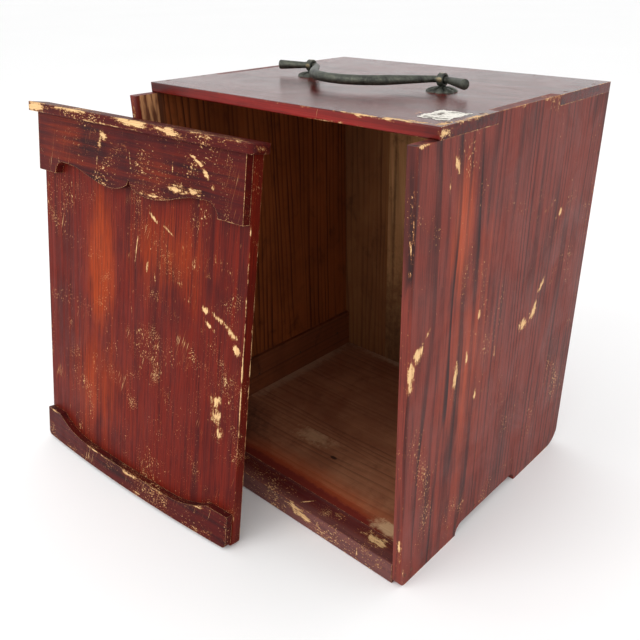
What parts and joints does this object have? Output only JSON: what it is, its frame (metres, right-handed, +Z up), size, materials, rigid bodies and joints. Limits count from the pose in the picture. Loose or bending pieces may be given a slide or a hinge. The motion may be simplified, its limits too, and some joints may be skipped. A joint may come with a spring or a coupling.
{
  "type": "lacquered wooden carrying box with lift-off door",
  "caption": "Upright lacquered wooden carrying box, open at the front, with a swinging bronze bail handle on top and a capped, carved lift-off door standing beside the opening.",
  "frame": {"origin": "middle of the front sill's underside, on the ground", "axes": "+X to the right seen from the open front, +Y to the back, +Z up"},
  "size_m": [0.3912, 0.3228, 0.3454],
  "materials": {
    "lacquered_wood": "worn red lacquer",
    "lacquered_top": "glossy dark red lacquer",
    "lacquered_door": "worn red lacquer",
    "back_wood": "bare, aged",
    "bare_wood": "bare, aged",
    "peg_wood": "cut flush",
    "bronze": "dark grey-green patina",
    "iron_pin": "dull"
  },
  "bodies": {
    "box": {"side_left": "lacquered_wood", "side_right": "lacquered_wood", "top_board": "lacquered_top", "back_left": "back_wood", "back_middle": "back_wood", "back_right": "back_wood", "floor_front": "bare_wood", "floor_rear": "bare_wood", "front_sill": "lacquered_wood", "batten_left": "bare_wood", "batten_right": "bare_wood", "top_pegs": "peg_wood", "back_pegs": "peg_wood", "floor_pegs": "peg_wood", "sill_pegs": "peg_wood", "batten_pins": "iron_pin", "eye_left": "bronze", "eye_right": "bronze", "rosette_left": "bronze", "rosette_right": "bronze"},
    "handle": {"bail": "bronze"},
    "door": {"door_panel": "lacquered_door", "door_cap": "lacquered_door", "door_apron": "lacquered_door", "door_rail": "lacquered_door", "cap_pegs": "peg_wood", "apron_pins": "iron_pin", "rail_pins": "iron_pin"}
  },
  "joints": [
    {"name": "handle_swing", "type": "hinge", "parent": "box", "child": "handle", "pos_m": [0, 0.116, 0.3408], "axis": [-1, 0, 0], "range_deg": [-3, 183]},
    {"name": "door_lift", "type": "slide", "parent": "box", "child": "door", "axis": [0, 0, 1], "range_m": [0, 0.36]}
  ]
}
